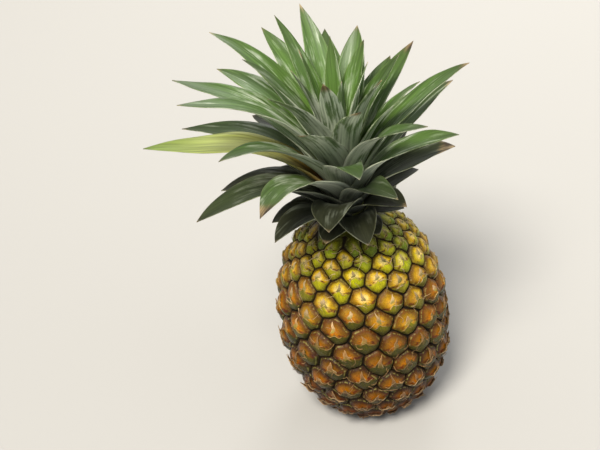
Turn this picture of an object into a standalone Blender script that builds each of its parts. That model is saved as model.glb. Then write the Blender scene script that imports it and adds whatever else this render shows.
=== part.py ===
# A fresh pineapple, standing on its flat cut base with its crown of leaves on top.
# Metres, +Z up. The fruit's axis is the Z axis, and the cut base lies on Z = 0.
# Three kinds of piece: the fruit with its cut stalk, the crown's stem, and the leaves.
import math
import random

import bmesh
import bpy
import numpy as np
from mathutils import Matrix, Vector

MM = 0.001
GAP = 0.3 * MM

# Fruit: a barrel whose outline is two superellipse arcs that meet at the widest height.
FRUIT_RADIUS = 65.0 * MM
FRUIT_HEIGHT = 164.0 * MM
WIDEST_HEIGHT = 76.0 * MM
BASE_RADIUS = 33.0 * MM
NECK_RADIUS = 22.0 * MM
BARREL_POWER = 2.3

# Eyes: fruitlets in the spiral order of a pineapple, 8, 13 and 21 rows to the turn.
GOLDEN_TURN = math.radians(-137.5)
FIRST_EYE_TURN = math.radians(-90.0)
EYE_RISE = 0.0167
EYE_MARGIN = 2.5 * MM
GROOVE_DEPTH = 3.2 * MM
RING_GROOVE_DEPTH = 1.0 * MM
EYE_SHARP_ANGLE = math.radians(8.0)
BASE_RING_POINTS = 28
NECK_RING_POINTS = 20

# Cut stalk: the stub that the fruit grew on, sawn off level with the base.
STALK_RADIUS = 13.0 * MM
STALK_LENGTH = 12.0 * MM
STALK_SIDES = 28

# Crown stem: the short core that carries the leaves.
STEM_BASE_RADIUS = 15.0 * MM
STEM_TIP_RADIUS = 2.6 * MM
STEM_LENGTH = 52.0 * MM
STEM_SIDES = 20
STEM_TIP_BEVEL = 1.2 * MM

# Leaves, counted from the lowest and outermost to the one at the heart of the crown.
# Each list gives a value at the stations, which are shares of the way up the crown.
LEAF_COUNT = 57
FIRST_LEAF_TURN = math.radians(-60.0)
FIRST_LEAF_HEIGHT = 2.6 * MM
LAST_LEAF_HEIGHT = 48.0 * MM
STATIONS = (0.0, 0.15, 0.3, 0.45, 0.6, 0.85, 1.0)
LEAF_LENGTHS_MM = (27.0, 50.0, 86.0, 116.0, 129.0, 112.0, 80.0)
LEAF_WIDTHS_MM = (24.0, 30.0, 32.0, 32.0, 30.0, 24.0, 12.0)
LEAF_THICKNESSES_MM = (1.2, 1.2, 1.0, 0.9, 0.8, 0.7, 0.6)
ROOT_ANGLES_DEG = (48.0, 42.0, 35.0, 28.0, 21.0, 10.0, 3.0)
TIP_ANGLES_DEG = (112.0, 104.0, 94.0, 84.0, 70.0, 42.0, 12.0)
WRAP_LIMITS = (1.1, 1.0, 0.9, 0.8, 0.72, 0.72, 0.72)
ROOT_CLEARANCE = 0.4 * MM
SPINE_STEPS = 80

# Leaf outline: a clasping base, widest about a third of the way up, then a long taper.
BASE_WIDTH_SHARE = 0.85
WIDEST_PLACE = 0.34
TAPER_POWER = 3.6
TIP_WIDTH_SHARE = 0.035
CHANNEL_DEPTH = 0.17
CHANNEL_START = 34.0 * MM

# Spread of the leaves' sizes: each one differs, and those towards -X are longer.
LENGTH_SPREAD = 0.1
LONG_SIDE_SHARE = 0.11
LONG_SIDE_TURN = math.radians(180.0)
WIDTH_SPREAD = 0.08
LEAF_SEED = 11
LEAF_ROWS = 7
LEAF_COLUMNS = 4

# A gentle drift of the whole crown: long waves, which keep neighbouring leaves apart.
DRIFT_SIZE = 5.0 * MM
DRIFT_BIAS = Vector((-1.2, 0.0, 0.2))
DRIFT_WAVELENGTH = 125.0 * MM
DRIFT_PHASES = Vector((0.6, 1.9, 3.1))
SECOND_WAVE_SHARE = 0.5
SECOND_PHASES = Vector((0.0, 2.4, 1.2))
DRIFT_START = 20.0 * MM
DRIFT_FADE = 80.0 * MM

SLOPE_STEP = 0.1 * MM
LEVEL_NORMAL = 0.9999


def clear_scene():
    for thing in list(bpy.data.objects):
        bpy.data.objects.remove(thing, do_unlink=True)


def make_material(name, colour, roughness):
    material = bpy.data.materials.new(name)
    material.use_nodes = True
    shader = material.node_tree.nodes["Principled BSDF"]
    shader.inputs["Base Color"].default_value = (*colour, 1.0)
    shader.inputs["Roughness"].default_value = roughness
    shader.inputs["Metallic"].default_value = 0.0
    material.diffuse_color = (*colour, 1.0)
    return material


def add_piece(name, bm, material, sharp_angle=math.radians(40.0)):
    bmesh.ops.recalc_face_normals(bm, faces=bm.faces)
    mesh = bpy.data.meshes.new(name)
    bm.to_mesh(mesh)
    bm.free()
    mesh.shade_smooth()
    mesh.set_sharp_from_angle(angle=sharp_angle)
    mesh.materials.append(material)
    piece = bpy.data.objects.new(name, mesh)
    bpy.context.scene.collection.objects.link(piece)
    return piece


def arc_reach(height, end_radius):
    # Half-length that a superellipse arc needs to narrow to end_radius over this height.
    share = 1.0 - (end_radius / FRUIT_RADIUS) ** BARREL_POWER
    return height / share ** (1.0 / BARREL_POWER)


LOWER_REACH = arc_reach(WIDEST_HEIGHT, BASE_RADIUS)
UPPER_REACH = arc_reach(FRUIT_HEIGHT - WIDEST_HEIGHT, NECK_RADIUS)


def fruit_radius(height):
    reach = LOWER_REACH if height < WIDEST_HEIGHT else UPPER_REACH
    share = abs((height - WIDEST_HEIGHT) / reach)
    return FRUIT_RADIUS * (1.0 - share ** BARREL_POWER) ** (1.0 / BARREL_POWER)


def around(radius, turn, height):
    return Vector((radius * math.cos(turn), radius * math.sin(turn), height))


def eye_centres():
    # Each eye sits one golden turn on from the last, and a little further up the outline.
    centres = []
    height = EYE_MARGIN
    turn = FIRST_EYE_TURN
    while height < FRUIT_HEIGHT - EYE_MARGIN:
        radius = fruit_radius(height)
        centres.append(around(radius, turn, height))
        rise = fruit_radius(height + SLOPE_STEP) - fruit_radius(height - SLOPE_STEP)
        slope = rise / (2.0 * SLOPE_STEP)
        height += EYE_RISE * radius / math.hypot(1.0, slope)
        turn += GOLDEN_TURN
    return centres


def ring(radius, height, count):
    return [around(radius, 2.0 * math.pi * index / count, height) for index in range(count)]


def sink_grooves(bm, eyes):
    # Halve every edge at an eye and sink the middles, so that each eye stands proud.
    eye_set = set(eyes)
    sides = [edge for edge in bm.edges if eye_set.intersection(edge.verts)]
    depths = {}
    for edge in sides:
        both_eyes = all(vert in eye_set for vert in edge.verts)
        middle = (edge.verts[0].co + edge.verts[1].co) / 2.0
        depths[middle.freeze()] = GROOVE_DEPTH if both_eyes else RING_GROOVE_DEPTH
    split = bmesh.ops.subdivide_edges(bm, edges=sides, cuts=1, use_grid_fill=True)
    middles = [item for item in split["geom_inner"] if isinstance(item, bmesh.types.BMVert)]
    axis_point = Vector((0.0, 0.0, WIDEST_HEIGHT))
    for vert in middles:
        nearest = min(depths, key=lambda point: (point - vert.co).length)
        outward = vert.co - axis_point
        outward.z *= (FRUIT_RADIUS / UPPER_REACH) ** 2
        vert.co -= outward.normalized() * depths[nearest]


def cut_stalk_socket(fruit, material):
    socket = bmesh.new()
    depth = STALK_LENGTH + GAP
    middle = Matrix.Translation((0.0, 0.0, (depth - STALK_LENGTH) / 2.0))
    bmesh.ops.create_cone(socket, cap_ends=True, segments=STALK_SIDES, matrix=middle,
                          radius1=STALK_RADIUS + GAP, radius2=STALK_RADIUS + GAP,
                          depth=depth + STALK_LENGTH)
    cutter = add_piece("stalk_socket_cutter", socket, material)
    cutter.hide_render = True
    cutter.display_type = "WIRE"
    cut = fruit.modifiers.new("stalk_socket", "BOOLEAN")
    cut.operation = "DIFFERENCE"
    cut.solver = "EXACT"
    cut.object = cutter


def build_fruit(material):
    bm = bmesh.new()
    eyes = [bm.verts.new(point) for point in eye_centres()]
    rings = ring(BASE_RADIUS, 0.0, BASE_RING_POINTS)
    rings += ring(NECK_RADIUS, FRUIT_HEIGHT, NECK_RING_POINTS)
    edge_points = [bm.verts.new(point) for point in rings]
    bmesh.ops.convex_hull(bm, input=eyes + edge_points)
    bmesh.ops.recalc_face_normals(bm, faces=bm.faces)
    flats = [face for face in bm.faces if abs(face.normal.z) > LEVEL_NORMAL]
    flat_edges = [edge for edge in bm.edges if all(face in flats for face in edge.link_faces)]
    bmesh.ops.dissolve_edges(bm, edges=flat_edges)
    sink_grooves(bm, eyes)
    bmesh.ops.triangulate(bm, faces=[face for face in bm.faces if len(face.verts) == 4])
    fruit = add_piece("fruit", bm, material, sharp_angle=EYE_SHARP_ANGLE)
    cut_stalk_socket(fruit, material)


def build_cut_stalk(material):
    bm = bmesh.new()
    lift = Matrix.Translation((0.0, 0.0, STALK_LENGTH / 2.0))
    bmesh.ops.create_cone(bm, cap_ends=True, segments=STALK_SIDES, matrix=lift,
                          radius1=STALK_RADIUS, radius2=STALK_RADIUS, depth=STALK_LENGTH)
    add_piece("cut_stalk", bm, material)


def stem_radius(height):
    return STEM_BASE_RADIUS + (STEM_TIP_RADIUS - STEM_BASE_RADIUS) * height / STEM_LENGTH


def build_crown_stem(material):
    bm = bmesh.new()
    lift = Matrix.Translation((0.0, 0.0, FRUIT_HEIGHT + GAP + STEM_LENGTH / 2.0))
    bmesh.ops.create_cone(bm, cap_ends=True, segments=STEM_SIDES, matrix=lift,
                          radius1=STEM_BASE_RADIUS, radius2=STEM_TIP_RADIUS, depth=STEM_LENGTH)
    top = FRUIT_HEIGHT + GAP + STEM_LENGTH
    rim = [edge for edge in bm.edges if min(vert.co.z for vert in edge.verts) > top - GAP]
    bmesh.ops.bevel(bm, geom=rim, offset=STEM_TIP_BEVEL, segments=2, profile=0.5,
                    affect="EDGES", clamp_overlap=True)
    add_piece("crown_stem", bm, material)


def at_station(share, values):
    return float(np.interp(share, STATIONS, values))


def leaf_spine(share, length, nominal_length, thickness):
    # The leaf's midline in the plane of its axis: radius, height and lean at each step.
    root_angle = math.radians(at_station(share, ROOT_ANGLES_DEG))
    tip_angle = math.radians(at_station(share, TIP_ANGLES_DEG))
    height = FIRST_LEAF_HEIGHT + (LAST_LEAF_HEIGHT - FIRST_LEAF_HEIGHT) * share
    radius = stem_radius(height) + GAP + ROOT_CLEARANCE
    radius += thickness / 2.0 * math.cos(root_angle)
    distance = np.linspace(0.0, length, SPINE_STEPS + 1)
    angle = root_angle + (tip_angle - root_angle) * distance / nominal_length
    stride = length / SPINE_STEPS
    middle = (angle[1:] + angle[:-1]) / 2.0
    radii = radius + np.concatenate([[0.0], np.cumsum(np.sin(middle)) * stride])
    heights = height + np.concatenate([[0.0], np.cumsum(np.cos(middle)) * stride])
    return distance, radii, heights + FRUIT_HEIGHT + GAP, angle


def leaf_outline(along):
    # Share of the full width at this share of the length.
    opening = math.sin(min(along / WIDEST_PLACE, 1.0) * math.pi / 2.0)
    swell = BASE_WIDTH_SHARE + (1.0 - BASE_WIDTH_SHARE) * opening
    taper = 1.0 - along ** TAPER_POWER
    return max(swell * taper, TIP_WIDTH_SHARE)


def drift(point):
    # A smooth sideways wander that grows with the distance from the axis.
    reach = max(math.hypot(point.x, point.y) - DRIFT_START, 0.0)
    size = DRIFT_SIZE * (1.0 - math.exp(-reach / DRIFT_FADE))
    x, y, z = point * (2.0 * math.pi / DRIFT_WAVELENGTH)
    first = Vector((y, z, x)) + DRIFT_PHASES
    second = Vector((z, x, y)) + SECOND_PHASES
    offset = [math.sin(a) + SECOND_WAVE_SHARE * math.sin(b) for a, b in zip(first, second)]
    return point + (Vector(offset) + DRIFT_BIAS) * size


def build_leaf(index, draw, material):
    share = index / (LEAF_COUNT - 1)
    thickness = at_station(share, LEAF_THICKNESSES_MM) * MM
    nominal_length = at_station(share, LEAF_LENGTHS_MM) * MM
    turn = FIRST_LEAF_TURN + index * GOLDEN_TURN
    length = nominal_length * (1.0 + draw.uniform(-LENGTH_SPREAD, LENGTH_SPREAD))
    length *= 1.0 + LONG_SIDE_SHARE * math.cos(turn - LONG_SIDE_TURN)
    half_width = at_station(share, LEAF_WIDTHS_MM) * MM / 2.0
    half_width *= 1.0 + draw.uniform(-WIDTH_SPREAD, WIDTH_SPREAD)
    wrap_limit = at_station(share, WRAP_LIMITS)
    distance, radii, heights, angles = leaf_spine(share, length, nominal_length, thickness)

    bm = bmesh.new()
    bmesh.ops.create_grid(bm, x_segments=LEAF_ROWS, y_segments=LEAF_COLUMNS, size=1.0)
    for vert in bm.verts:
        along = (vert.co.x + 1.0) / 2.0
        across = vert.co.y
        place = along * length
        radius = float(np.interp(place, distance, radii))
        height = float(np.interp(place, distance, heights))
        angle = float(np.interp(place, distance, angles))
        reach = min(half_width * leaf_outline(along), wrap_limit * radius)
        raised = CHANNEL_DEPTH * reach * across ** 2 * min(place / CHANNEL_START, 1.0)
        radius_here = radius - raised * math.cos(angle)
        point = around(radius_here, turn + across * reach / radius, height + raised * math.sin(angle))
        vert.co = drift(point)
    name = f"leaf_{index + 1:02d}"
    leaf = add_piece(name, bm, material)
    wall = leaf.modifiers.new("thickness", "SOLIDIFY")
    wall.thickness = thickness
    wall.offset = 0.0


def build_leaves(outer_material, inner_material):
    draw = random.Random(LEAF_SEED)
    for index in range(LEAF_COUNT):
        material = outer_material if index < LEAF_COUNT // 3 else inner_material
        build_leaf(index, draw, material)


def build_pineapple():
    clear_scene()
    build_fruit(make_material("ripe_rind", (0.52, 0.33, 0.05), 0.45))
    build_cut_stalk(make_material("cut_stalk_fibre", (0.42, 0.29, 0.15), 0.8))
    build_crown_stem(make_material("pale_stem", (0.55, 0.56, 0.30), 0.6))
    outer = make_material("outer_leaf_green", (0.05, 0.09, 0.05), 0.5)
    inner = make_material("inner_leaf_green", (0.13, 0.20, 0.12), 0.5)
    build_leaves(outer, inner)


build_pineapple()
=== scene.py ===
import math
import random
from functools import partial

import bmesh
import bpy
import numpy as np
from mathutils import Matrix, Vector, noise


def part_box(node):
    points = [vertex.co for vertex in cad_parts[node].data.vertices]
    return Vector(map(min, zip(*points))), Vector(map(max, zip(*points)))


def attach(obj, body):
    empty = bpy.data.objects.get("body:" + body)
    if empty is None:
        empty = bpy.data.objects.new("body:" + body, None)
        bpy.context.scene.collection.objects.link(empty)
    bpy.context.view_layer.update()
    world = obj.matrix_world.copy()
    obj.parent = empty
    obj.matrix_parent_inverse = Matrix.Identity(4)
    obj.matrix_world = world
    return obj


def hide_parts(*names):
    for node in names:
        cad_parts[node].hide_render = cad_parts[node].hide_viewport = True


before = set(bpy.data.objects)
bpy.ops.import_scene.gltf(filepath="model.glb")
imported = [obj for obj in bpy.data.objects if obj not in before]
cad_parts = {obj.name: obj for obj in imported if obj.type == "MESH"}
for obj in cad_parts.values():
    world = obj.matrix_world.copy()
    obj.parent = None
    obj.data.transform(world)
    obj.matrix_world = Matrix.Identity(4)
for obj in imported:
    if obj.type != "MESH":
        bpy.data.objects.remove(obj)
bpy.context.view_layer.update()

mm = 0.001
goldenTurn = math.radians(-137.5)  # from one eye, or one leaf, to the next
axisGap = 1e-7                     # metres that a profile's end stands off the axis, closed by the weld
spinWeld = 2e-6                    # metres
print("frame loaded")


# shared small tools

def srgb(hexText):
    channels = [int(hexText[i:i + 2], 16) / 255.0 for i in (1, 3, 5)]
    linear = [c / 12.92 if c <= 0.04045 else ((c + 0.055) / 1.055) ** 2.4 for c in channels]
    return (*linear, 1.0)


def addNode(tree, kind, sockets=None, stops=None, **settings):
    made = tree.nodes.new("ShaderNode" + kind)
    for key, value in settings.items():
        setattr(made, key, value)
    for key, value in (sockets or {}).items():
        if isinstance(value, bpy.types.NodeSocket):
            tree.links.new(value, made.inputs[key])
        else:
            made.inputs[key].default_value = value
    if stops:
        ramp = made.color_ramp.elements
        while len(ramp) < len(stops):
            ramp.new(1.0)
        for element, (place, colour) in zip(ramp, stops):
            element.position = place
            element.color = srgb(colour)
    return made


smooth = {"interpolation_type": "SMOOTHSTEP"}  # settings that many nodes share
colours = {"data_type": "RGBA"}


def newMaterial(name):
    material = bpy.data.materials.new(name)
    material.use_nodes = True
    tree = material.node_tree
    return material, tree, tree.nodes["Principled BSDF"]


def connectSurface(tree, shader, colour, relief, strength, depth):
    tree.links.new(colour, shader.inputs["Base Color"])
    bump = addNode(tree, "Bump", {"Height": relief, "Strength": strength, "Distance": depth})
    tree.links.new(bump.outputs["Normal"], shader.inputs["Normal"])


def makePiece(name, bm, materials, nodes):
    mesh = bpy.data.meshes.new(name)
    bm.to_mesh(mesh)
    bm.free()
    mesh.shade_smooth()
    for material in materials:
        mesh.materials.append(material)
    piece = bpy.data.objects.new(name, mesh)
    bpy.context.scene.collection.objects.link(piece)
    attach(piece, "root")
    if nodes:
        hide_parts(*nodes)
    return piece


def spinProfile(profile, steps, weld):
    # turn pairs of radius and height about the upright axis
    bm = bmesh.new()
    verts = [bm.verts.new((radius, 0.0, height)) for radius, height in profile]
    edges = [bm.edges.new(pair) for pair in zip(verts, verts[1:])]
    bmesh.ops.spin(bm, geom=verts + edges, cent=(0, 0, 0), axis=(0, 0, 1), angle=2.0 * math.pi,
                   steps=steps, use_merge=True)
    bmesh.ops.remove_doubles(bm, verts=bm.verts, dist=weld)
    return bm


def placeVerts(bm, points, values):
    # move every vertex to its point and give it its row of named values
    layers = [bm.verts.layers.float.new(name) for name in values]
    table = np.stack(list(values.values()), axis=1)
    for vert, point, row in zip(bm.verts, points, table):
        vert.co = point
        for layer, value in zip(layers, row):
            vert[layer] = float(value)


def smoothStep(low, high, value):
    share = np.clip((value - low) / (high - low), 0.0, 1.0)
    return share * share * (3.0 - 2.0 * share)


# the fruit's outline, which the rind, the bracts and the crown all sit on

fruitLow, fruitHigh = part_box("fruit")
outline = {
    "height": fruitHigh[2] - fruitLow[2],
    "radius": 65 * mm,
    "widestHeight": 76 * mm,
    "baseRadius": 33 * mm,
    "neckRadius": 22 * mm,
    "power": 2.3,       # how square the barrel's shoulders are
    "eyeRise": 0.0167,  # each eye's step up, as a share of the radius there
    "eyeMargin": 2.5 * mm,
    "eyeStray": 0.7 * mm,
    "eyeSeed": 5,
}


def arcReach(height, endRadius):
    share = 1.0 - (endRadius / outline["radius"]) ** outline["power"]
    return height / share ** (1.0 / outline["power"])


lowerReach = arcReach(outline["widestHeight"], outline["baseRadius"])
upperReach = arcReach(outline["height"] - outline["widestHeight"], outline["neckRadius"])


def barrelRadius(height):
    offset = np.asarray(height, dtype=float) - outline["widestHeight"]
    share = np.abs(np.where(offset < 0.0, offset / lowerReach, offset / upperReach))
    power = outline["power"]
    return outline["radius"] * np.maximum(1.0 - share ** power, 0.0) ** (1.0 / power)


outlineHeights = np.linspace(0.0, outline["height"], 1200)
outlineRadii = barrelRadius(outlineHeights)
outlineStrides = np.hypot(np.diff(outlineHeights), np.diff(outlineRadii))
outlineArc = np.concatenate([[0.0], np.cumsum(outlineStrides)])
outlineSlopes = np.gradient(outlineRadii, outlineHeights)


def findEyes():
    # height, turn and distance along the outline of every eye, base to crown
    eyes = []
    height = outline["eyeMargin"]
    turn = math.radians(-90.0)
    step = 0.1 * mm
    while height < outline["height"] - outline["eyeMargin"]:
        radius = float(barrelRadius(height))
        slope = float(barrelRadius(height + step) - barrelRadius(height - step)) / (2.0 * step)
        eyes.append((height, turn, float(np.interp(height, outlineHeights, outlineArc))))
        height += outline["eyeRise"] * radius / math.hypot(1.0, slope)
        turn += goldenTurn
    return np.array(eyes)


eyes = findEyes()
hexagonWidth = 1.0746  # flat to flat, over the root of its area
eyePitchShare = math.sqrt(2.0 * math.pi * outline["eyeRise"]) * hexagonWidth
eyeDraw = np.random.default_rng(outline["eyeSeed"])
eyeSeeds = eyeDraw.random((len(eyes), 4))
eyeStray = eyeDraw.normal(0.0, outline["eyeStray"], (len(eyes), 2))
eyes[:, 1] += eyeStray[:, 0] / barrelRadius(eyes[:, 0])
eyes[:, 2] += eyeStray[:, 1]
print("eyes found:", len(eyes))


# rind

rindShape = {
    "turns": 466,
    "rows": 198,
    "domeHeight": 5.2 * mm,
    "domeVariation": 0.34,     # share by which one eye stands taller than another
    "domeTilt": 2.2 * mm,
    "centreDent": 0.8 * mm,
    "wrinkleHeight": 0.28 * mm,
    "wrinkleCount": 6,
    "bibStep": 0.9 * mm,
    "grooveDepth": 0.9 * mm,
    "borderWander": 1.5 * mm,  # how far the grooves stray from even hexagons
    "wanderSize": 9 * mm,
    "inset": 0.5 * mm,
    "socketRadius": 13.3 * mm,
    "socketDepth": 12.3 * mm,
    "lowEnd": 4 * mm,          # the relief fades out this near each end
    "highEnd": 5 * mm,
    "bibHeight": -0.15,        # shares of the eye's pitch, from here on
    "bibPeak": 0.06,
    "bibPeakSpread": 0.16,
    "bibPeakWidth": 0.14,
    "bibSlant": 0.25,
    "bibSpread": 0.09,
    "bibTall": 0.16,
    "bibWave": 0.02,
}


def wander(points, shift):
    return np.array([noise.noise(Vector(point) / rindShape["wanderSize"] + Vector((shift, 0, 0)))
                     for point in points])


def nearestEyes(turns, arcs, radii):
    # for each point: its own eye, its place in it and how near it is to the border, 0 to 1
    turnGap = turns[:, None] - eyes[None, :, 1]
    turnGap = (turnGap + math.pi) % (2.0 * math.pi) - math.pi
    sideways = turnGap * radii[:, None]
    upwards = arcs[:, None] - eyes[None, :, 2]
    distance = np.hypot(sideways, upwards)
    order = np.argpartition(distance, 2, axis=1)[:, :2]
    near = np.take_along_axis(distance, order, axis=1)
    own = np.where(near[:, 0] < near[:, 1], order[:, 0], order[:, 1])
    first = near.min(axis=1)
    second = near.max(axis=1)
    edge = 2.0 * first / np.maximum(first + second, 1e-9)
    pitch = eyePitchShare * radii
    rows = np.arange(len(turns))
    return own, sideways[rows, own] / pitch, upwards[rows, own] / pitch, edge


def bibMargin(across, seeds, heights):
    # upper margin of the fleshy bib: a low peak in the middle that runs out into the papery tip,
    # and taller bibs on the lower half of the fruit
    shape = rindShape
    peak = shape["bibPeak"] + shape["bibPeakSpread"] * seeds[:, 2]
    peak = peak * np.exp(-(across / shape["bibPeakWidth"]) ** 2)
    slant = shape["bibSlant"] * (seeds[:, 3] - 0.5) * across
    tall = shape["bibTall"] * smoothStep(0.68, 0.5, heights / outline["height"])
    wave = shape["bibWave"] * np.sin(across * 26.0 + 9.0 * seeds[:, 0])
    return shape["bibHeight"] + tall + peak + slant + shape["bibSpread"] * (seeds[:, 1] - 0.5) + wave


def eyeRelief(turns, arcs):
    # everything the rind and the bracts need to know at a place on the barrel
    heights = np.interp(arcs, outlineArc, outlineHeights)
    radii = np.maximum(barrelRadius(heights), mm)
    places = np.stack([radii * np.cos(turns), radii * np.sin(turns), heights], axis=1)
    stray = rindShape["borderWander"]
    own, across, up, edge = nearestEyes(turns + stray * wander(places, 0.0) / radii,
                                        arcs + stray * wander(places, 31.7), radii)
    seeds = eyeSeeds[own]
    size = np.clip(radii / outline["radius"], 0.35, 1.0)
    ends = smoothStep(0.0, rindShape["lowEnd"], heights)
    ends = ends * smoothStep(0.0, rindShape["highEnd"], outline["height"] - heights)
    tall = 1.0 + rindShape["domeVariation"] * (seeds[:, 0] - 0.75)
    dome = rindShape["domeHeight"] * tall * (1.0 - np.minimum(edge, 1.0) ** 2.1) ** 0.72
    lean = (seeds[:, 1] - 0.5) * across + (seeds[:, 2] - 0.35) * up
    dome += rindShape["domeTilt"] * lean * (1.0 - edge ** 4)
    dome -= rindShape["centreDent"] * np.exp(-(across / 0.12) ** 2 - ((up - 0.1) / 0.1) ** 2)
    spokes = np.sin(np.arctan2(up, across) * rindShape["wrinkleCount"] + 12.0 * seeds[:, 3])
    dome += rindShape["wrinkleHeight"] * spokes * edge * (1.0 - edge ** 4)
    margin = bibMargin(across, seeds, heights)
    dome += rindShape["bibStep"] * smoothStep(margin + 0.04, margin - 0.04, up) * smoothStep(1.0, 0.82,
                                                                                             edge)
    dome -= rindShape["grooveDepth"] * smoothStep(0.86, 1.0, edge)
    push = (dome - rindShape["domeHeight"]) * size * ends - rindShape["inset"]
    return {"own": own, "across": across, "up": up, "edge": edge, "heights": heights, "radii": radii,
            "push": push, "margin": up - margin}


def barrelPoints(turns, relief, rise):
    slope = np.interp(relief["heights"], outlineHeights, outlineSlopes)
    outwards = 1.0 / np.hypot(1.0, slope)
    away = relief["push"] + rise
    radii = relief["radii"] + away * outwards
    heights = relief["heights"] - away * slope * outwards
    return np.stack([radii * np.cos(turns), radii * np.sin(turns), heights], axis=1)


def buildRind(material):
    rowHeights = np.interp(np.linspace(0.0, outlineArc[-1], rindShape["rows"]), outlineArc, outlineHeights)
    profile = [(axisGap, rindShape["socketDepth"]), (rindShape["socketRadius"], rindShape["socketDepth"])]
    profile += [(rindShape["socketRadius"], share * rindShape["socketDepth"]) for share in (0.5, 0.0)]
    profile += [(share * outline["baseRadius"], 0.0) for share in (0.5, 0.6, 0.7, 0.8, 0.9)]
    profile += [(float(barrelRadius(height)), height) for height in rowHeights]
    top = outline["height"]
    profile += [(share * outline["neckRadius"], top) for share in (0.75, 0.4)] + [(axisGap, top)]
    bm = spinProfile(profile, rindShape["turns"], spinWeld)
    bmesh.ops.recalc_face_normals(bm, faces=bm.faces)

    points = np.array([vert.co for vert in bm.verts])
    radii = np.hypot(points[:, 0], points[:, 1])
    turns = np.arctan2(points[:, 1], points[:, 0])
    onBarrel = np.abs(radii - barrelRadius(points[:, 2])) < 0.05 * mm
    relief = eyeRelief(turns, np.interp(points[:, 2], outlineHeights, outlineArc))
    raised = barrelPoints(turns, relief, 0.0)
    raised[:, 2] = np.clip(raised[:, 2], 0.0, top)
    points[onBarrel] = raised[onBarrel]
    seeds = eyeSeeds[relief["own"]]
    values = {"eyeAcross": np.where(onBarrel, relief["across"], 0.3),
              "eyeUp": np.where(onBarrel, relief["up"], 0.3),
              "eyeEdge": np.where(onBarrel, relief["edge"], 0.7),
              "bibPlace": np.where(onBarrel, relief["margin"], 0.3),
              "eyeSeed": seeds[:, 2], "eyeTint": seeds[:, 3], "fruitUp": relief["heights"] / top}
    placeVerts(bm, points, values)
    return makePiece("fruitRind", bm, [material], ["fruit"])


# waxy skin of a ripe pineapple: golden domes with burnt rims, fleshy bibs below them that are lime near the
# crown and dull olive lower down, and dark corky grooves between; painted shade darkens the lower half, the
# -X side, the grooves and each eye's border
rindLook = {
    "blotchSize": 16 * mm,
    "mottleSize": 3.0 * mm,
    "grainSize": 0.8 * mm,
    "domeColours": [(0.0, "#4a3022"), (0.14, "#623e20"), (0.4, "#7a521c"), (0.66, "#7c5720"),
                    (0.77, "#a27c2a"), (0.85, "#d6b040"), (0.93, "#bcae3c"), (1.0, "#8c8e32")],
    "bibColours": [(0.0, "#3c2a18"), (0.16, "#3c300e"), (0.4, "#403d0e"), (0.64, "#504c14"),
                   (0.75, "#878024"), (0.84, "#b6b02e"), (0.93, "#a2a632"), (1.0, "#74842c")],
    "centreColours": [(0.0, "#805c50"), (0.25, "#b0703c"), (0.64, "#c07c38"), (0.77, "#e2b86e"),
                      (0.82, "#f0d99c"), (1.0, "#b8b06e")],
    "rimColours": [(0.0, "#2a150d"), (0.45, "#48240f"), (0.66, "#8b4f1b"), (0.85, "#7f581f"),
                   (1.0, "#59581f")],
    "spot": "#54200f",
    "borderLine": "#96924a",
    "groove": "#160c01",
    "grooveLip": "#32240a",
}


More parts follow.
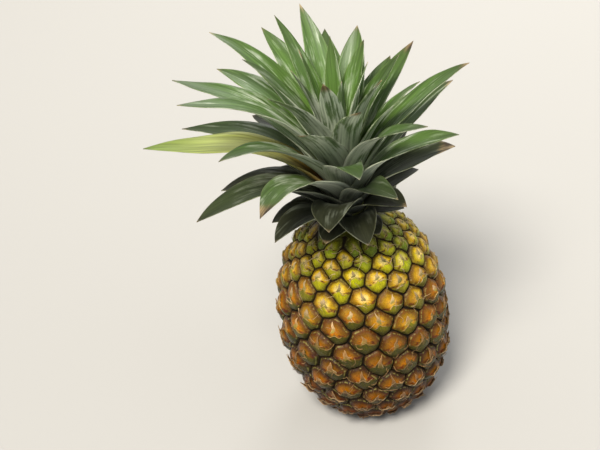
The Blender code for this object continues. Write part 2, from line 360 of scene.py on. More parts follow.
def rindMaterial():
    material, tree, shader = newMaterial("waxyPineappleRind")
    node = partial(addNode, tree)
    coords = node("TexCoord").outputs["Object"]
    across, up, edge, place, seed, tint, height = [
        node("Attribute", attribute_name=name).outputs["Fac"]
        for name in ("eyeAcross", "eyeUp", "eyeEdge", "bibPlace", "eyeSeed", "eyeTint", "fruitUp")]
    blotch, mottle, grain = [
        node("TexNoise", {"Vector": coords, "Scale": 1 / rindLook[key], "Detail": detail,
                "Roughness": rough}).outputs["Fac"]
        for key, detail, rough in (("blotchSize", 3.0, 0.5), ("mottleSize", 4.0, 0.6),
                                   ("grainSize", 3.0, 0.65))]
    # streaks that run out from the middle of each eye
    angle = node("Math", {0: up, 1: across}, operation="ARCTAN2").outputs[0]
    spin = node("Math", {0: angle, 1: 3.4}, operation="MULTIPLY").outputs[0]
    shift = node("Math", {0: seed, 1: 40.0}, operation="MULTIPLY").outputs[0]
    polar = node("CombineXYZ", {"X": spin, "Y": edge, "Z": shift}).outputs[0]
    streaks = node("TexNoise",
                   {"Vector": polar, "Scale": 1.6, "Detail": 4.0, "Roughness": 0.65}).outputs["Fac"]

    # ripeness and painted shade: the same height, moved a little for each eye so that ripening isn't in
    # neat bands
    # low values are browner as the fruit ripens from its base, and much darker there as painted shade on
    # the lower half
    spread = node("Math", {0: seed, 1: 0.16, 2: height}, operation="MULTIPLY_ADD").outputs[0]
    ripenessAndShade = node("Math", {0: blotch, 1: 0.3, 2: spread}, operation="MULTIPLY_ADD").outputs[0]
    ripenessAndShade = node("Math", {0: ripenessAndShade, 1: 0.22}, operation="SUBTRACT").outputs[0]
    # painted shade on the side towards -X: its colours are shifted darker and browner
    sideways = node("SeparateXYZ", {"Vector": coords}).outputs["X"]
    paintedSideShade = node("MapRange", {"Value": sideways, "From Min": -55 * mm, "From Max": 0.0, "To Min": -0.13,
                               "To Max": 0.0}).outputs["Result"]
    ripenessAndShade = node("Math", {0: ripenessAndShade, 1: paintedSideShade}, operation="ADD").outputs[0]
    domeTone, bibTone, centreTone, rimTone = [
        node("ValToRGB", {"Fac": ripenessAndShade}, stops=rindLook[key]).outputs["Color"]
        for key in ("domeColours", "bibColours", "centreColours", "rimColours")]

    # pale papery middle of the eye, streaked
    raggedEdge = node("Math", {0: streaks, 1: 0.5, 2: edge}, operation="MULTIPLY_ADD").outputs[0]
    centre = node("MapRange", {"Value": raggedEdge, "From Min": 0.95, "From Max": 0.45, "To Max": 0.85},
                  **smooth).outputs["Result"]
    skin = node("Mix", {0: centre, 6: domeTone, 7: centreTone}, **colours).outputs[2]

    # rim: a burnt arch over the top of the dome
    rimBand = node("MapRange", {"Value": raggedEdge, "From Min": 0.84, "From Max": 1.08},
                   **smooth).outputs["Result"]
    rimTop = node("MapRange", {"Value": up, "From Min": -0.08, "From Max": 0.22, "To Max": 0.9},
                  **smooth).outputs["Result"]
    rim = node("Math", {0: rimBand, 1: rimTop}, operation="MULTIPLY").outputs[0]
    skin = node("Mix", {0: rim, 6: skin, 7: rimTone}, **colours).outputs[2]

    # bib, with a ragged upper margin
    raggedPlace = node("Math", {0: streaks, 1: 0.22, 2: place}, operation="MULTIPLY_ADD").outputs[0]
    bib = node("MapRange", {"Value": raggedPlace, "From Min": 0.15, "From Max": 0.05},
               **smooth).outputs["Result"]
    skin = node("Mix", {0: bib, 6: skin, 7: bibTone}, **colours).outputs[2]

    # dark red-brown spots where the bib's margin meets the dome's sides
    seamGap = node("Math", {0: raggedPlace, 1: 0.14}, operation="SUBTRACT").outputs[0]
    seamAway = node("Math", {0: seamGap}, operation="ABSOLUTE").outputs[0]
    seamLine = node("MapRange", {"Value": seamAway, "From Min": 0.075, "From Max": 0.005},
                    **smooth).outputs["Result"]
    side = node("Math", {0: across}, operation="ABSOLUTE").outputs[0]
    seamSide = node("MapRange", {"Value": side, "From Min": 0.08, "From Max": 0.24},
                    **smooth).outputs["Result"]
    broken = node("MapRange", {"Value": mottle, "From Min": 0.38, "From Max": 0.55}).outputs["Result"]
    spots = node("Math", {0: seamLine, 1: seamSide}, operation="MULTIPLY").outputs[0]
    spots = node("Math", {0: spots, 1: broken}, operation="MULTIPLY").outputs[0]
    skin = node("Mix", {0: spots, 6: skin, 7: srgb(rindLook["spot"])}, **colours).outputs[2]

    # each eye lighter or darker at random, with streaks and freckles, and painted shade that darkens it
    # towards its border
    shade = node("MapRange", {"Value": tint, "To Min": 0.68, "To Max": 1.12}).outputs["Result"]
    streaked = node("MapRange", {"Value": streaks, "From Min": 0.35, "From Max": 0.65, "To Min": 0.62,
                                 "To Max": 1.2}).outputs["Result"]
    freckle = node("MapRange", {"Value": grain, "From Min": 0.3, "From Max": 0.62, "To Min": 0.6,
                                "To Max": 1.1}).outputs["Result"]
    # painted shade: darker towards each eye's border, where the dome turns down into the shadowed groove
    border = node("MapRange", {"Value": raggedEdge, "From Min": 0.75, "From Max": 1.2, "To Min": 1.08,
                               "To Max": 0.5}, **smooth).outputs["Result"]
    value = shade
    for factor in (streaked, freckle, border):
        value = node("Math", {0: value, 1: factor}, operation="MULTIPLY").outputs[0]
    skin = node("HueSaturation", {"Color": skin, "Value": value, "Saturation": 1.14}).outputs["Color"]

    # grooves: corky and dark brown, painted nearly black with a thin dull lip; the near black is painted
    # shade in these recesses
    raggedGroove = node("Math", {0: mottle, 1: 0.1, 2: edge}, operation="MULTIPLY_ADD").outputs[0]
    # a thin broken olive line where the skin turns down into the groove
    lineGap = node("Math", {0: raggedGroove, 1: 0.91}, operation="SUBTRACT").outputs[0]
    lineAway = node("Math", {0: lineGap}, operation="ABSOLUTE").outputs[0]
    line = node("MapRange", {"Value": lineAway, "From Min": 0.04, "From Max": 0.01, "To Max": 0.6},
                **smooth).outputs["Result"]
    lineBreaks = node("MapRange", {"Value": streaks, "From Min": 0.46, "From Max": 0.6}).outputs["Result"]
    line = node("Math", {0: line, 1: lineBreaks}, operation="MULTIPLY").outputs[0]
    skin = node("Mix", {0: line, 6: skin, 7: srgb(rindLook["borderLine"])}, **colours).outputs[2]
    lip = node("MapRange", {"Value": raggedGroove, "From Min": 0.95, "From Max": 1.0},
               **smooth).outputs["Result"]
    floor = node("MapRange", {"Value": raggedGroove, "From Min": 0.97, "From Max": 1.03},
                 **smooth).outputs["Result"]
    skin = node("Mix", {0: lip, 6: skin, 7: srgb(rindLook["grooveLip"])}, **colours).outputs[2]
    skin = node("Mix", {0: floor, 6: skin, 7: srgb(rindLook["groove"])}, **colours).outputs[2]

    rough = node("MapRange", {"Value": lip, "To Min": 0.34, "To Max": 0.9}).outputs["Result"]
    tree.links.new(rough, shader.inputs["Roughness"])
    relief = node("Math", {0: grain, 1: 0.4, 2: mottle}, operation="MULTIPLY_ADD").outputs[0]
    relief = node("Math", {0: streaks, 1: 0.8, 2: relief}, operation="MULTIPLY_ADD").outputs[0]
    connectSurface(tree, shader, skin, relief, 0.8, 0.9 * mm)
    shader.inputs["IOR"].default_value = 1.45
    shader.inputs["Specular IOR Level"].default_value = 0.27
    return material


buildRind(rindMaterial())
print("rind built")


# dried bracts: a papery tongue over each eye, a ragged margin along each bib, and loose fibres

bractShape = {
    "rows": 8,
    "columns": 3,
    "width": 0.3,         # shares of the eye's pitch
    "length": 0.5,
    "lift": 1.5 * mm,
    "clearance": 0.2 * mm,
    "thickness": 0.25 * mm,
    "marginColumns": 12,
    "marginRows": 2,
    "marginReach": 0.4,
    "marginWidth": 1.5 * mm,
    "fibres": 5,
    "fibreRows": 5,
    "fibreLength": 8 * mm,
    "fibreWidth": 0.55 * mm,
    "rootSink": 0.9 * mm,    # how far each part's hidden edge goes into the rind
    "marginSink": 0.7 * mm,
    "endSink": 0.8 * mm,
    "fibreSink": 0.15 * mm,
    "floorGap": 0.2 * mm,
    "bareEyes": 3,           # eyes at each end that have none
    "seed": 21,
}


def buildBracts(material):
    draw = random.Random(bractShape["seed"])
    bm = bmesh.new()
    spots = []
    for eyeIndex in range(bractShape["bareEyes"], len(eyes) - bractShape["bareEyes"]):
        height, turn, arc = eyes[eyeIndex]
        ownSeeds = eyeSeeds[eyeIndex][None, :]
        radius = float(barrelRadius(height))
        pitch = eyePitchShare * radius
        low = float(smoothStep(0.75, 0.3, height / outline["height"]))
        seed = draw.random()
        width = bractShape["width"] * pitch * draw.uniform(0.6, 1.25)
        length = bractShape["length"] * pitch * draw.uniform(0.7, 1.15) * (1.0 + 0.35 * low)
        lift = bractShape["lift"] * draw.uniform(0.2, 1.5) * (0.6 + 1.7 * low)
        bend = draw.uniform(-0.45, 0.45)
        twist = draw.uniform(-0.6, 0.6)
        bmesh.ops.create_grid(bm, x_segments=bractShape["columns"], y_segments=bractShape["rows"], size=1.0)
        for row in range(bractShape["rows"] + 1):
            share = row / bractShape["rows"]
            for column in range(bractShape["columns"] + 1):
                sideShare = 2.0 * column / bractShape["columns"] - 1.0
                ragged = 1.0 + 0.3 * math.sin(11.0 * share + 40.0 * seed + 2.0 * sideShare)
                half = width / 2.0 * (1.0 - share ** 1.3 * 0.96) * ragged
                side = sideShare * half + bend * length * share ** 2 * 0.5
                rise = bractShape["clearance"] + lift * share ** 2.0 + twist * half * sideShare * share
                rise -= (1.0 - share) ** 3 * bractShape["rootSink"]
                spots.append((turn + side / radius, arc + (share - 0.3) * length, rise, share, seed,
                              abs(sideShare)))
        # the thin torn margin that runs along the top of the bib
        reach = bractShape["marginReach"] * pitch
        torn = bractShape["marginWidth"] * (0.35 + 1.1 * low) * draw.uniform(0.2, 1.2)
        start = -reach * draw.uniform(0.1 + 0.5 * low, 1.0)
        finish = reach * draw.uniform(0.1 + 0.5 * low, 1.0)
        bmesh.ops.create_grid(bm, x_segments=bractShape["marginColumns"],
                              y_segments=bractShape["marginRows"], size=1.0)
        for row in range(bractShape["marginRows"] + 1):
            share = row / bractShape["marginRows"]
            for column in range(bractShape["marginColumns"] + 1):
                sideShare = 2.0 * column / bractShape["marginColumns"] - 1.0
                side = start + (finish - start) * (sideShare + 1.0) / 2.0
                peak = float(bibMargin(np.array([side / pitch]), ownSeeds, height)[0]) * pitch
                waves = math.sin(7.0 * sideShare + 50.0 * seed) * math.sin(17.0 * sideShare + seed)
                ragged = 0.55 + 0.45 * waves
                rise = bractShape["clearance"] + share * (0.35 + 0.6 * low) * mm * (1.0 + ragged)
                rise -= (1.0 - share) * bractShape["marginSink"]
                ends = 1.0 - sideShare ** 6
                rise = rise * ends - bractShape["endSink"] * (1.0 - ends)
                spots.append((turn + side / radius,
                              arc + peak - bractShape["marginSink"] + share * torn * ragged * ends,
                              rise, 0.3 + 0.5 * share * ragged, seed, share * low))
        # loose fibres frayed from the dry margins, more of them low down
        for _ in range(round(bractShape["fibres"] * (0.35 + 0.65 * low) * draw.uniform(0.5, 1.4))):
            rows = bractShape["fibreRows"]
            bmesh.ops.create_grid(bm, x_segments=1, y_segments=rows, size=1.0)
            heading = draw.uniform(-0.9, 0.9) + (math.pi if draw.random() < 0.5 else 0.0)
            curl = draw.uniform(-1.2, 1.2)
            fibreLength = bractShape["fibreLength"] * draw.uniform(0.5, 1.3)
            half = bractShape["fibreWidth"] * draw.uniform(0.6, 1.4) / 2.0
            startAcross = draw.uniform(-0.35, 0.35) * pitch
            startUp = draw.uniform(-0.3, 0.15) * pitch
            spring = draw.uniform(0.3, 1.8) * mm
            fibreSeed = draw.random()
            for row in range(rows + 1):
                share = row / rows
                bearing = heading + curl * share
                midAcross = startAcross + share * fibreLength * math.cos(bearing)
                midUp = startUp + share * fibreLength * math.sin(bearing)
                for sign in (-1.0, 1.0):
                    width = sign * half * (1.0 - 0.8 * share)
                    side = midAcross - width * math.sin(bearing)
                    spots.append((turn + side / radius, arc + midUp + width * math.cos(bearing),
                                  spring * math.sin(1.8 * share) - bractShape["fibreSink"],
                                  0.9, fibreSeed, 0.8))
    turns, arcs, rises, alongs, seeds, borders = np.array(spots).T
    arcs = np.clip(arcs, 0.0, outlineArc[-1])
    relief = eyeRelief(turns, arcs)
    points = barrelPoints(turns, relief, rises)
    points[:, 2] = np.maximum(points[:, 2], bractShape["floorGap"])
    values = {"bractAlong": alongs, "bractSeed": seeds, "bractBorder": borders,
              "fruitUp": relief["heights"] / outline["height"]}
    placeVerts(bm, points, values)
    bmesh.ops.recalc_face_normals(bm, faces=bm.faces)
    piece = makePiece("eyeBracts", bm, [material], [])
    wall = piece.modifiers.new("thickness", "SOLIDIFY")
    wall.thickness = bractShape["thickness"]
    wall.offset = 0.0
    return piece


# papery dried bract: pinkish cream at its tip and torn margin, green-gold where it joins the rind
bractLook = {
    "rootColours": [(0.0, "#3c2a1e"), (0.4, "#4a3c1b"), (0.66, "#a08c33"), (1.0, "#6f7430")],
    "tipColours": [(0.0, "#7a5848"), (0.35, "#8a6238"), (0.62, "#ab7e48"), (0.72, "#dfbd8c"),
                   (1.0, "#b5a06c")],
    "border": "#cdb07c",
    "streakSize": 0.5 * mm,
}


def bractMaterial():
    material, tree, shader = newMaterial("driedBractPaper")
    node = partial(addNode, tree)
    coords = node("TexCoord").outputs["Object"]
    along, seed, border, height = [
        node("Attribute", attribute_name=name).outputs["Fac"]
        for name in ("bractAlong", "bractSeed", "bractBorder", "fruitUp")]
    streak = node("TexNoise", {"Vector": coords, "Scale": 1 / bractLook["streakSize"],
                               "Detail": 3.0}).outputs["Fac"]
    root, tip = [node("ValToRGB", {"Fac": height}, stops=bractLook[key]).outputs["Color"]
                 for key in ("rootColours", "tipColours")]
    fade = node("MapRange", {"Value": along, "From Min": 0.25, "From Max": 0.7}, **smooth).outputs["Result"]
    colour = node("Mix", {0: fade, 6: root, 7: tip}, **colours).outputs[2]
    pale = node("MapRange",
                {"Value": border, "From Min": 0.7, "From Max": 1.0, "To Max": 0.65}).outputs["Result"]
    colour = node("Mix", {0: pale, 6: colour, 7: srgb(bractLook["border"])}, **colours).outputs[2]
    light = node("MapRange", {"Value": streak, "From Min": 0.3, "From Max": 0.7, "To Min": 0.5,
                              "To Max": 1.15}).outputs["Result"]
    own = node("MapRange", {"Value": seed, "To Min": 0.6, "To Max": 1.1}).outputs["Result"]
    value = node("Math", {0: light, 1: own}, operation="MULTIPLY").outputs[0]
    colour = node("HueSaturation", {"Color": colour, "Value": value}).outputs["Color"]
    connectSurface(tree, shader, colour, streak, 0.5, 0.3 * mm)
    shader.inputs["Roughness"].default_value = 0.7
    shader.inputs["Specular IOR Level"].default_value = 0.3
    return material


buildBracts(bractMaterial())
print("bracts built")


# crown leaves

crownLow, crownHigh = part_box("crown_stem")
leafShape = {
    "count": 57,
    "firstTurn": math.radians(-60.0),
    "firstHeight": 2.6 * mm,
    "lastHeight": 48 * mm,
    "stemBaseRadius": 15 * mm,
    "stemTipRadius": 2.6 * mm,
    "stemLength": crownHigh[2] - crownLow[2],
    "stations": (0.0, 0.15, 0.3, 0.45, 0.6, 0.85, 1.0),  # shares of the way up the crown
    "lengths": (27, 50, 86, 116, 129, 112, 80),          # mm
    "widths": (24, 30, 32, 32, 30, 24, 12),              # mm
    "thicknesses": (1.2, 1.2, 1.0, 0.9, 0.8, 0.7, 0.6),  # mm
    "rootAngles": (48, 42, 35, 28, 21, 10, 3),           # degrees from upright
    "tipAngles": (112, 104, 94, 84, 70, 42, 12),
    "wrapLimits": (1.1, 1.0, 0.9, 0.8, 0.72, 0.72, 0.72),
    "rootClearance": 0.7 * mm,
    "channelDepth": 0.17,
    "baseWidthShare": 0.85,
    "widestPlace": 0.34,
    "taperPower": 3.6,
    "channelStart": 34 * mm,
    "tipShare": 0.03,
    "lengthSpread": 0.1,
    "widthSpread": 0.08,
    "longSideShare": 0.11,
    "seed": 11,
    "rows": 56,
    "columns": 12,
    "driftSize": 5 * mm,
    "driftWave": 125 * mm,
    "driftStart": 20 * mm,
    "driftPhases": ((0.6, 0.0, -1.2), (1.9, 2.4, 0.0), (3.1, 1.2, 0.2)),  # first wave, second wave, bias
    "spineSteps": 80,
    "dryPower": 4,          # most tips are hardly dry, a few are long and dry
    "yellowLeaves": (27,),
    "lookSeed": 4,
}


def atStation(share, key):
    return float(np.interp(share, leafShape["stations"], leafShape[key]))


def leafWidthShare(along):
    opening = np.sin(np.minimum(along / leafShape["widestPlace"], 1.0) * math.pi / 2.0)
    swell = leafShape["baseWidthShare"] + (1.0 - leafShape["baseWidthShare"]) * opening
    taper = 1.0 - along ** leafShape["taperPower"]
    return np.maximum(swell * taper, leafShape["tipShare"] * (1.0 - 0.8 * along))


def crownDrift(points):
    # the whole crown's gentle wander, growing away from the axis
    reach = np.maximum(np.hypot(points[:, 0], points[:, 1]) - leafShape["driftStart"], 0.0)
    size = leafShape["driftSize"] * (1.0 - np.exp(-reach / (4.0 * leafShape["driftStart"])))
    wave = 2.0 * math.pi / leafShape["driftWave"]
    x, y, z = (points * wave).T
    offset = np.stack([np.sin(main + phases[0]) + 0.5 * np.sin(second + phases[1]) + phases[2]
                       for main, second, phases in zip((y, z, x), (z, x, y),
                                                       leafShape["driftPhases"])], axis=1)
    return points + offset * size[:, None]


def leafSpine(share, length, nominalLength, thickness):
    steps = leafShape["spineSteps"]
    rootAngle = math.radians(atStation(share, "rootAngles"))
    tipAngle = math.radians(atStation(share, "tipAngles"))
    height = leafShape["firstHeight"] + (leafShape["lastHeight"] - leafShape["firstHeight"]) * share
    stemTaper = (leafShape["stemTipRadius"] - leafShape["stemBaseRadius"]) / leafShape["stemLength"]
    radius = leafShape["stemBaseRadius"] + stemTaper * height + leafShape["rootClearance"]
    radius += thickness / 2.0 * math.cos(rootAngle)
    distance = np.linspace(0.0, length, steps + 1)
    angle = rootAngle + (tipAngle - rootAngle) * distance / nominalLength
    middle = (angle[1:] + angle[:-1]) / 2.0
    radii = radius + np.concatenate([[0.0], np.cumsum(np.sin(middle)) * length / steps])
    heights = height + np.concatenate([[0.0], np.cumsum(np.cos(middle)) * length / steps])
    return distance, radii, heights + crownLow[2], angle


def buildLeaf(index, draw, looks, materials):
    share = index / (leafShape["count"] - 1)
    thickness = atStation(share, "thicknesses") * mm
    nominalLength = atStation(share, "lengths") * mm
    turn = leafShape["firstTurn"] + index * goldenTurn
    length = nominalLength * (1.0 + draw.uniform(-leafShape["lengthSpread"], leafShape["lengthSpread"]))
    length *= 1.0 - leafShape["longSideShare"] * math.cos(turn)
    halfWidth = atStation(share, "widths") * mm / 2.0
    halfWidth *= 1.0 + draw.uniform(-leafShape["widthSpread"], leafShape["widthSpread"])
    wrapLimit = atStation(share, "wrapLimits")
    distance, radii, heights, angles = leafSpine(share, length, nominalLength, thickness)

    bm = bmesh.new()
    bmesh.ops.create_grid(bm, x_segments=leafShape["rows"], y_segments=leafShape["columns"], size=1.0)
    grid = np.array([vert.co for vert in bm.verts])
    along = (grid[:, 0] + 1.0) / 2.0
    across = grid[:, 1]
    place = along * length
    radius = np.interp(place, distance, radii)
    height = np.interp(place, distance, heights)
    angle = np.interp(place, distance, angles)
    reach = np.minimum(halfWidth * leafWidthShare(along), wrapLimit * radius)
    started = np.minimum(place / leafShape["channelStart"], 1.0)
    raised = leafShape["channelDepth"] * reach * across ** 2 * started
    ripple = looks.uniform(0.2, 0.5) * mm * np.sin(place / (looks.uniform(5, 8) * mm) + looks.uniform(0, 6))
    raised += ripple * across ** 4 * smoothStep(0.15, 0.5, along) * smoothStep(1.0, 0.8, along)
    radiusHere = radius - raised * np.cos(angle)
    turnHere = turn + across * reach / radius
    points = np.stack([radiusHere * np.cos(turnHere), radiusHere * np.sin(turnHere),
                       height + raised * np.sin(angle)], axis=1)
    points = crownDrift(points)

    names = ("leafAlong", "leafAcross", "leafSeed", "leafTint", "leafAge", "dryShare")
    layers = [bm.verts.layers.float.new(name) for name in names]
    group = bm.verts.layers.deform.new()
    seed = looks.random()
    tint = 0.6 * looks.random() + (0.7 if index in leafShape["yellowLeaves"] else 0.0)
    dryness = looks.random() ** leafShape["dryPower"]
    for vert, point, a, c in zip(bm.verts, points, along, across):
        vert.co = point
        for layer, value in zip(layers, (a, c, seed, tint, share, dryness)):
            vert[layer] = float(value)
        vert[group][0] = float((1.0 - 0.75 * c * c) * (1.0 - 0.6 * a))
    leafMap = bm.loops.layers.uv.new("leafMap")
    for vert, p, c, r in zip(bm.verts, place, across, reach):
        for loop in vert.link_loops:
            loop[leafMap].uv = (c * r, p)
    leafNode = f"leaf_{index + 1:02d}"
    piece = makePiece(f"crownLeaf{index + 1:02d}", bm, materials, [leafNode])
    piece.vertex_groups.new(name="rib")
    wall = piece.modifiers.new("thickness", "SOLIDIFY")
    wall.thickness = 1.5 * thickness
    wall.offset = 0.0
    wall.vertex_group = "rib"
    wall.thickness_vertex_group = 0.2
    wall.material_offset = 1
    wall.material_offset_rim = 1


# fresh bromeliad leaf. Upper side: smooth green, paler at the root, fine parallel veins.
# Under side: the same green below a silver-grey bloom of tiny scales, rubbed off in places.
leafLook = {
    "upperYoung": [(0.0, "#b9b866"), (0.1, "#87994a"), (0.28, "#5f7e35"), (0.7, "#547233"),
                   (1.0, "#465a2b")],
    "upperOldShaded": "#2c2e1e",
    "underYoung": "#56703a",
    "underOldShaded": "#26271b",
    "bloomYoung": "#c6cdb8",
    "bloomOldShaded": "#7f8474",
    "yellow": [(0.0, "#b06a2a"), (0.16, "#b5873a"), (0.34, "#b9b45c"), (0.7, "#b3bd66"), (1.0, "#7f9a3e")],
    "margin": "#97995c",
    "dry": "#a08a62",
    "dryDark": "#3a2f22",
    "veinSize": 1.7 * mm,  # the real veins are 0.5 mm apart: drawn wider so that they show
    "veinLength": 60 * mm,
    "patchWidth": 6 * mm,
    "patchLength": 26 * mm,
}


def leafMaterial(name, underside):
    material, tree, shader = newMaterial(name)
    node = partial(addNode, tree)
    place = node("UVMap", uv_map="leafMap").outputs["UV"]
    along, across, seed, tint, age, dry = [
        node("Attribute", attribute_name=key).outputs["Fac"]
        for key in ("leafAlong", "leafAcross", "leafSeed", "leafTint", "leafAge", "dryShare")]
    shift = node("Math", {0: seed, 1: 70.0}, operation="MULTIPLY").outputs[0]
    shiftVector = node("CombineXYZ", {"Z": shift}).outputs[0]
    noises = []
    for width, length in ((leafLook["veinSize"], leafLook["veinLength"]),
                          (leafLook["patchWidth"], leafLook["patchLength"])):
        scaled = node("Mapping", {"Vector": place, "Scale": (1 / width, 1 / length, 1.0)}).outputs[0]
        moved = node("VectorMath", {0: scaled, 1: shiftVector}, operation="ADD").outputs[0]
        noises.append(node("TexNoise", {"Vector": moved, "Scale": 1.0, "Detail": 4.0,
                                        "Roughness": 0.6}).outputs["Fac"])
    veins, patches = noises

    # from old leaves at the bottom of the crown, dark with age and darker still as painted shade deep in
    # the crown, to fresh green ones in the middle
    youth = node("MapRange", {"Value": age, "From Min": 0.27, "From Max": 0.52}, **smooth).outputs["Result"]
    if underside:
        fresh = srgb(leafLook["underYoung"])
        agedAndShaded = srgb(leafLook["underOldShaded"])
    else:
        fresh = node("ValToRGB", {"Fac": along}, stops=leafLook["upperYoung"]).outputs["Color"]
        agedAndShaded = srgb(leafLook["upperOldShaded"])
    green = node("Mix", {0: youth, 6: agedAndShaded, 7: fresh}, **colours).outputs[2]
    bloom = node("Mix", {0: youth, 6: srgb(leafLook["bloomOldShaded"]), 7: srgb(leafLook["bloomYoung"])},
                 **colours).outputs[2]

    # bloom: thick on the under side, a thin film on the upper one, and rubbed off towards the tip
    cover = node("Math", {0: veins, 1: 0.55, 2: patches}, operation="MULTIPLY_ADD").outputs[0]
    cover = node("Math", {0: along, 1: -0.3, 2: cover}, operation="MULTIPLY_ADD").outputs[0]
    if underside:
        limits = {"From Min": 0.44, "From Max": 0.64, "To Min": 0.1, "To Max": 0.92}
    else:
        limits = {"From Min": 0.58, "From Max": 0.85, "To Min": 0.0, "To Max": 0.65}
    film = node("MapRange", {"Value": cover, **limits}, **smooth).outputs["Result"]
    colour = node("Mix", {0: film, 6: green, 7: bloom}, **colours).outputs[2]

    # a leaf that is turning yellow, orange at its root
    yellow = node("ValToRGB", {"Fac": along}, stops=leafLook["yellow"]).outputs["Color"]
    turned = node("Math", {0: patches, 1: 0.4, 2: tint}, operation="MULTIPLY_ADD").outputs[0]
    turning = node("MapRange", {"Value": turned, "From Min": 1.0, "From Max": 1.25,
                                "To Max": 0.9}).outputs["Result"]
    colour = node("Mix", {0: turning, 6: colour, 7: yellow}, **colours).outputs[2]
    # pale margin: the leaf edge's own paler colour, and a painted highlight along the edge
    margin = node("Math", {0: across}, operation="ABSOLUTE").outputs[0]
    marginAndHighlightMask = node("MapRange", {"Value": margin, "From Min": 0.94, "From Max": 1.0,
                                   "To Max": 0.2}).outputs["Result"]
    colour = node("Mix", {0: marginAndHighlightMask, 6: colour, 7: srgb(leafLook["margin"])}, **colours).outputs[2]

    # dry tip, longer on some leaves
    tipNoise = node("Math", {0: veins, 1: 0.12, 2: along}, operation="MULTIPLY_ADD").outputs[0]
    tipStart = node("Math", {0: dry, 1: -0.12, 2: 1.065}, operation="MULTIPLY_ADD").outputs[0]
    tipPast = node("Math", {0: tipNoise, 1: tipStart}, operation="SUBTRACT").outputs[0]
    tipMask = node("MapRange", {"Value": tipPast, "From Min": -0.05, "From Max": 0.03},
                   **smooth).outputs["Result"]
    dryMix = node("MapRange", {"Value": patches, "From Min": 0.4, "From Max": 0.62}).outputs["Result"]
    dryTone = node("Mix", {0: dryMix, 6: srgb(leafLook["dryDark"]), 7: srgb(leafLook["dry"])},
                   **colours).outputs[2]
    colour = node("Mix", {0: tipMask, 6: colour, 7: dryTone}, **colours).outputs[2]

    veinLight = node("MapRange", {"Value": veins, "From Min": 0.3, "From Max": 0.7, "To Min": 0.58,
                                  "To Max": 1.3}).outputs["Result"]
    ownLight = node("MapRange", {"Value": seed, "To Min": 0.74, "To Max": 1.12}).outputs["Result"]
    value = node("Math", {0: veinLight, 1: ownLight}, operation="MULTIPLY").outputs[0]
    colour = node("HueSaturation", {"Color": colour, "Value": value}).outputs["Color"]
    rough = node("MapRange", {"Value": film, "To Min": 0.42, "To Max": 0.62}).outputs["Result"]
    tree.links.new(rough, shader.inputs["Roughness"])
    connectSurface(tree, shader, colour, veins, 0.6, 0.4 * mm)
    shader.inputs["Specular IOR Level"].default_value = 0.4
    return material


leafMaterials = [leafMaterial("smoothLeafUpperSide", False), leafMaterial("bloomedLeafUnderSide", True)]
sizeDraw = random.Random(leafShape["seed"])
lookDraw = random.Random(leafShape["lookSeed"])
for leafIndex in range(leafShape["count"]):
    buildLeaf(leafIndex, sizeDraw, lookDraw, leafMaterials)
print("crown built")


# crown stem and cut stalk

stemShape = {
    "steps": 72,
    "rows": 110,
    "scarPitch": 2.4 * mm,
    "scarDepth": 0.35 * mm,
    "tipRoundShare": 0.04,  # how much of the length the rounded tip takes
    "weld": 5e-6,
}
stalkShape = {
    "steps": 96,
    "rings": 13,
    "rimRound": 0.8 * mm,
    "rimSteps": 4,
    "dish": 0.6 * mm,
    "furrows": 17,
    "furrowDepth": 0.3 * mm,
    "topShare": 0.96,
}


def buildStem(material):
    # a short tapering stem, ringed by the scars where the leaves join it
    profile = [(axisGap, crownLow[2])]
    for row in range(stemShape["rows"] + 1):
        share = row / stemShape["rows"]
        height = share * leafShape["stemLength"]
        radius = leafShape["stemBaseRadius"]
        radius += share * (leafShape["stemTipRadius"] - radius)
        scar = 0.5 + 0.5 * math.cos(2.0 * math.pi * height / stemShape["scarPitch"])
        pastRound = max(share - (1.0 - stemShape["tipRoundShare"]), 0.0)
        tipRound = math.sqrt(max(1.0 - pastRound ** 2 / stemShape["tipRoundShare"] ** 2, 0.0))
        profile.append(((radius - stemShape["scarDepth"] * scar) * max(tipRound, 1e-4),
                        height + crownLow[2]))
    bm = spinProfile(profile, stemShape["steps"], stemShape["weld"])
    bmesh.ops.holes_fill(bm, edges=bm.edges, sides=0)
    bmesh.ops.recalc_face_normals(bm, faces=bm.faces)
    return makePiece("scarredCrownStem", bm, [material], ["crown_stem"])


def buildStalk(material):
    # the stub left in the base, cut flush: a slightly dished face with a rounded rim and furrowed sides
    low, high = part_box("cut_stalk")
    radius = (high[0] - low[0]) / 2.0
    rim = stalkShape["rimRound"]
    profile = [(axisGap, low[2] + stalkShape["dish"])]
    for ring in range(1, stalkShape["rings"]):
        share = ring / stalkShape["rings"]
        profile.append((share * (radius - rim), low[2] + stalkShape["dish"] * (1.0 - share ** 3)))
    for step in range(stalkShape["rimSteps"] + 1):
        angle = math.pi / 2.0 * step / stalkShape["rimSteps"]
        profile.append((radius - rim + rim * math.sin(angle), low[2] + rim - rim * math.cos(angle)))
    profile += [(radius, low[2] + share * (high[2] - low[2])) for share in (0.3, 0.6, 0.98)]
    profile += [(radius * stalkShape["topShare"], high[2]), (axisGap, high[2])]
    bm = spinProfile(profile, stalkShape["steps"], spinWeld)
    bmesh.ops.recalc_face_normals(bm, faces=bm.faces)
    for vert in bm.verts:
        reach = math.hypot(vert.co.x, vert.co.y)
        turn = math.atan2(vert.co.y, vert.co.x)
        furrow = 0.5 + 0.5 * math.cos(stalkShape["furrows"] * turn + 2.0 * math.sin(3.0 * turn))
        scale = 1.0 - stalkShape["furrowDepth"] / radius * furrow * (reach / radius) ** 4
        vert.co.x *= scale
        vert.co.y *= scale
    return makePiece("cutStalkEnd", bm, [material], ["cut_stalk"])


# bromeliad stem: pale, firm and slightly corky at the leaf scars
stemLook = {"low": "#8f8a5a", "high": "#a9b56a", "scar": "#5d5233", "grain": 1.2 * mm}
# stalk end: cut across the fibres, so the bundle ends show as dots in a drying pith, browner at the rim
stalkLook = {"pith": "#c6a878", "bundle": "#7a5531", "rim": "#5a3f26", "bundleSize": 1.3 * mm,
             "grain": 0.7 * mm}


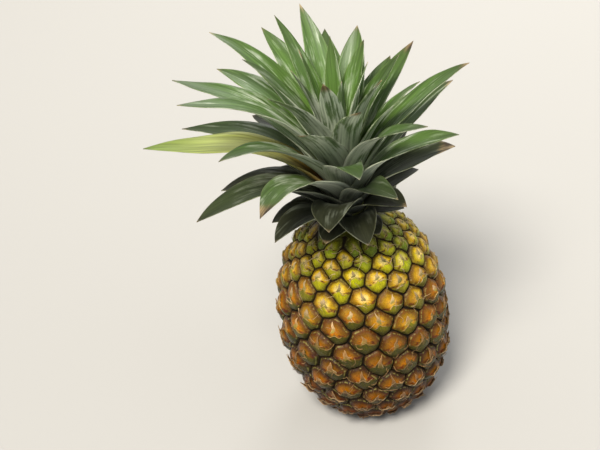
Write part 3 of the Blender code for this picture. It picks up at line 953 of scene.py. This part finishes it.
def stemMaterial():
    material, tree, shader = newMaterial("paleCrownStem")
    node = partial(addNode, tree)
    coords = node("TexCoord").outputs["Object"]
    grain = node("TexNoise",
                 {"Vector": coords, "Scale": 1 / stemLook["grain"], "Detail": 4.0}).outputs["Fac"]
    height = node("SeparateXYZ", {0: coords}).outputs["Z"]
    scarTurns = 2.0 * math.pi / stemShape["scarPitch"]
    scarWave = node("Math", {0: height, 1: scarTurns, 2: -scarTurns * crownLow[2]},
                    operation="MULTIPLY_ADD").outputs[0]
    scar = node("Math", {0: scarWave}, operation="COSINE").outputs[0]
    scar = node("MapRange", {"Value": scar, "From Min": 0.4, "From Max": 1.0}).outputs["Result"]
    colour = node("Mix", {0: grain, 6: srgb(stemLook["low"]), 7: srgb(stemLook["high"])},
                  **colours).outputs[2]
    colour = node("Mix", {0: scar, 6: colour, 7: srgb(stemLook["scar"])}, **colours).outputs[2]
    connectSurface(tree, shader, colour, grain, 0.5, 0.5 * mm)
    shader.inputs["Roughness"].default_value = 0.6
    return material


def stalkMaterial():
    material, tree, shader = newMaterial("cutFibrousStalk")
    node = partial(addNode, tree)
    coords = node("TexCoord").outputs["Object"]
    flat = node("VectorMath", {0: coords, 1: (1.0, 1.0, 0.15)}, operation="MULTIPLY").outputs[0]
    cells = node("TexVoronoi", {"Vector": flat, "Scale": 1 / stalkLook["bundleSize"]}).outputs["Distance"]
    grain = node("TexNoise",
                 {"Vector": flat, "Scale": 1 / stalkLook["grain"], "Detail": 4.0}).outputs["Fac"]
    dots = node("MapRange",
                {"Value": cells, "From Min": 0.42, "From Max": 0.2, "To Max": 0.8}).outputs["Result"]
    colour = node("Mix", {0: dots, 6: srgb(stalkLook["pith"]), 7: srgb(stalkLook["bundle"])},
                  **colours).outputs[2]
    across = node("VectorMath", {0: coords, 1: (1.0, 1.0, 0.0)}, operation="MULTIPLY").outputs[0]
    reach = node("VectorMath", {0: across}, operation="LENGTH").outputs["Value"]
    ragged = node("Math", {0: grain, 1: 3.0 * mm, 2: reach}, operation="MULTIPLY_ADD").outputs[0]
    rim = node("MapRange", {"Value": ragged, "From Min": 10.5 * mm, "From Max": 14.0 * mm, "To Max": 0.85},
               **smooth).outputs["Result"]
    colour = node("Mix", {0: rim, 6: colour, 7: srgb(stalkLook["rim"])}, **colours).outputs[2]
    light = node("MapRange", {"Value": grain, "To Min": 0.6, "To Max": 1.3}).outputs["Result"]
    colour = node("HueSaturation", {"Color": colour, "Value": light}).outputs["Color"]
    connectSurface(tree, shader, colour, cells, 0.7, 0.5 * mm)
    shader.inputs["Roughness"].default_value = 0.8
    return material


buildStem(stemMaterial())
buildStalk(stalkMaterial())
print("stem and stalk built")


# floor, lights and camera

def softLight(name, place, target, size, power, colour):
    light = bpy.data.lights.new(name, "AREA")
    light.shape = "DISK"
    light.size = size
    light.energy = power
    light.color = srgb(colour)[:3]
    lamp = bpy.data.objects.new(name, light)
    lamp.location = place
    lamp.rotation_euler = (Vector(target) - Vector(place)).to_track_quat("-Z", "Y").to_euler()
    bpy.context.scene.collection.objects.link(lamp)


studio = {
    "floorColour": "#b2b0ab",
    "floorSize": 6.0,
    "floorDrop": 0.1 * mm,
    "keyPlace": (-0.3, -0.72, 1.4),
    "keyStrength": 4.6,        # W per square metre
    "keySpread": math.radians(22.0),
    "fillPlace": (1.1, -0.7, 0.6),
    "fillPower": 3.5,
    "backPlace": (0.5, 1.1, 1.1),
    "backPower": 8.0,
    "skyStrength": 0.4,
    "horizonStrength": 0.72,
    "horizonHeight": 0.3,
}
middle = Vector((0.0, 0.0, 0.17))
keyData = bpy.data.lights.new("keyLight", "SUN")
keyData.energy = studio["keyStrength"]
keyData.angle = studio["keySpread"]
keyData.color = srgb("#fffaf2")[:3]
keyLight = bpy.data.objects.new("keyLight", keyData)
keyLight.rotation_euler = (middle - Vector(studio["keyPlace"])).to_track_quat("-Z", "Y").to_euler()
bpy.context.scene.collection.objects.link(keyLight)
softLight("fillLight", studio["fillPlace"], middle, 1.2, studio["fillPower"], "#f4f8ff")
softLight("backLight", studio["backPlace"], middle, 0.8, studio["backPower"], "#ffffff")
world = bpy.data.worlds.new("studioAir")
world.use_nodes = True
air = world.node_tree
# brighter towards the horizon, as in a pale studio
upwards = addNode(air, "SeparateXYZ", {0: addNode(air, "TexCoord").outputs["Generated"]})
strength = addNode(air, "MapRange", {"Value": upwards.outputs["Z"], "From Max": studio["horizonHeight"],
                   "To Min": studio["horizonStrength"], "To Max": studio["skyStrength"]})
air.nodes["Background"].inputs["Color"].default_value = srgb("#f7f8fa")
air.links.new(strength.outputs["Result"], air.nodes["Background"].inputs["Strength"])
bpy.context.scene.world = world
bpy.context.scene.view_settings.view_transform = "Standard"

floorMesh = bmesh.new()
bmesh.ops.create_grid(floorMesh, x_segments=1, y_segments=1, size=studio["floorSize"])
floorData = bpy.data.meshes.new("studioFloor")
floorMesh.to_mesh(floorData)
floorMesh.free()
floorMaterial, _, floorShader = newMaterial("matteStudioPaper")
floorShader.inputs["Base Color"].default_value = srgb(studio["floorColour"])
floorShader.inputs["Roughness"].default_value = 0.9
floorData.materials.append(floorMaterial)
floor = bpy.data.objects.new("studioFloor", floorData)
floor.location.z = -studio["floorDrop"]
bpy.context.scene.collection.objects.link(floor)

view = {
    "elevation": math.radians(35.4),
    "roll": math.radians(10.0),
    "distance": 1.0,
    "target": (-0.036, 0.0, 0.166),
    "lens": 83.0,
}
towards = Vector((0.0, math.cos(view["elevation"]), -math.sin(view["elevation"])))
camera = bpy.data.objects.new("camera", bpy.data.cameras.new("camera"))
camera.data.lens = view["lens"]
camera.data.sensor_width = 36.0
facing = towards.to_track_quat("-Z", "Y").to_matrix().to_4x4()
camera.matrix_world = (Matrix.Translation(Vector(view["target"]) - towards * view["distance"])
                       @ facing @ Matrix.Rotation(-view["roll"], 4, "Z"))
bpy.context.scene.collection.objects.link(camera)
bpy.context.scene.camera = camera
print("studio ready")
